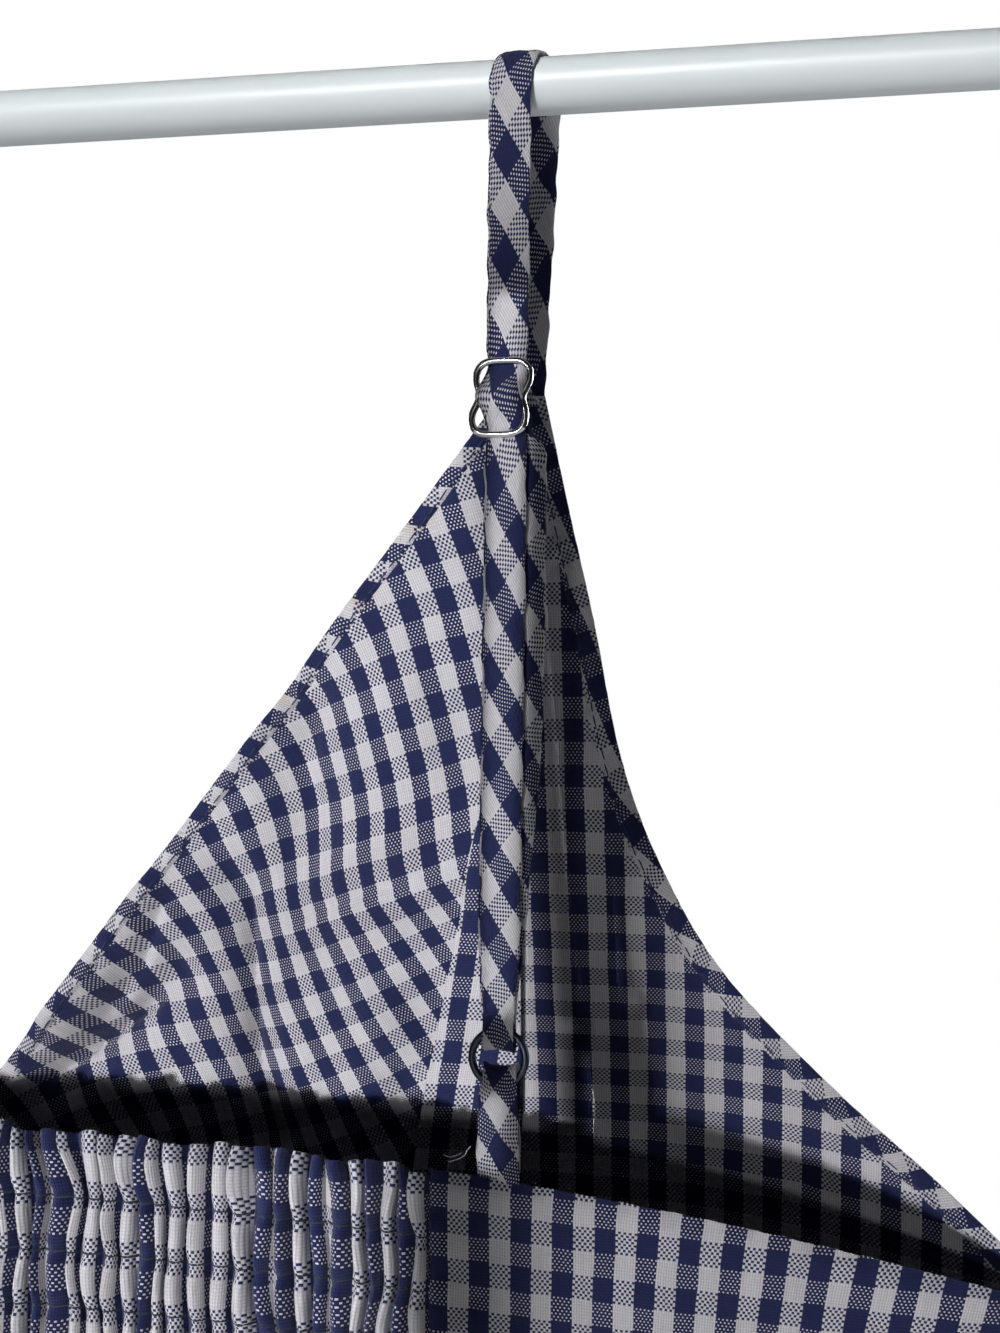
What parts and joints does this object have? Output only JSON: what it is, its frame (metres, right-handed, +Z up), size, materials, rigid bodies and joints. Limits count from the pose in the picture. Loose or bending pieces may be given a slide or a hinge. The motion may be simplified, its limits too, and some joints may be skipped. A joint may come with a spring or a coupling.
{
  "type": "sundress on a rod",
  "caption": "Gingham strap sundress with V-cut cups, gathered elastic back and flared skirt, hanging over a plain white rod.",
  "frame": {"origin": "on the rod's axis, midway between the two straps", "axes": "+Z up, +X towards the wearer's right, +Y towards the front of the dress"},
  "size_m": [0.6008, 0.1067, 0.8673],
  "materials": {
    "rod_plastic": "smooth glossy white",
    "gingham": "woven navy and off-white check, matt cotton",
    "strap_tape": "bias-cut navy and off-white check, matt cotton",
    "slider_wire": "polished silver wire",
    "ring_metal": "dark blue-grey metal"
  },
  "bodies": {
    "root": {"rod": "rod_plastic", "front_inner_right": "gingham", "front_inner_left": "gingham", "front_side_right": "gingham", "front_side_left": "gingham", "back_side_right": "gingham", "back_side_left": "gingham", "strap_right": "strap_tape", "strap_left": "strap_tape", "ring_tab_right": "strap_tape", "ring_tab_left": "strap_tape", "slider_right": "slider_wire", "slider_left": "slider_wire", "ring_right": "ring_metal", "ring_left": "ring_metal", "back_shirred": "gingham", "skirt_front": "gingham", "skirt_back": "gingham", "front_facing_right": "gingham", "front_facing_left": "gingham"}
  },
  "joints": []
}
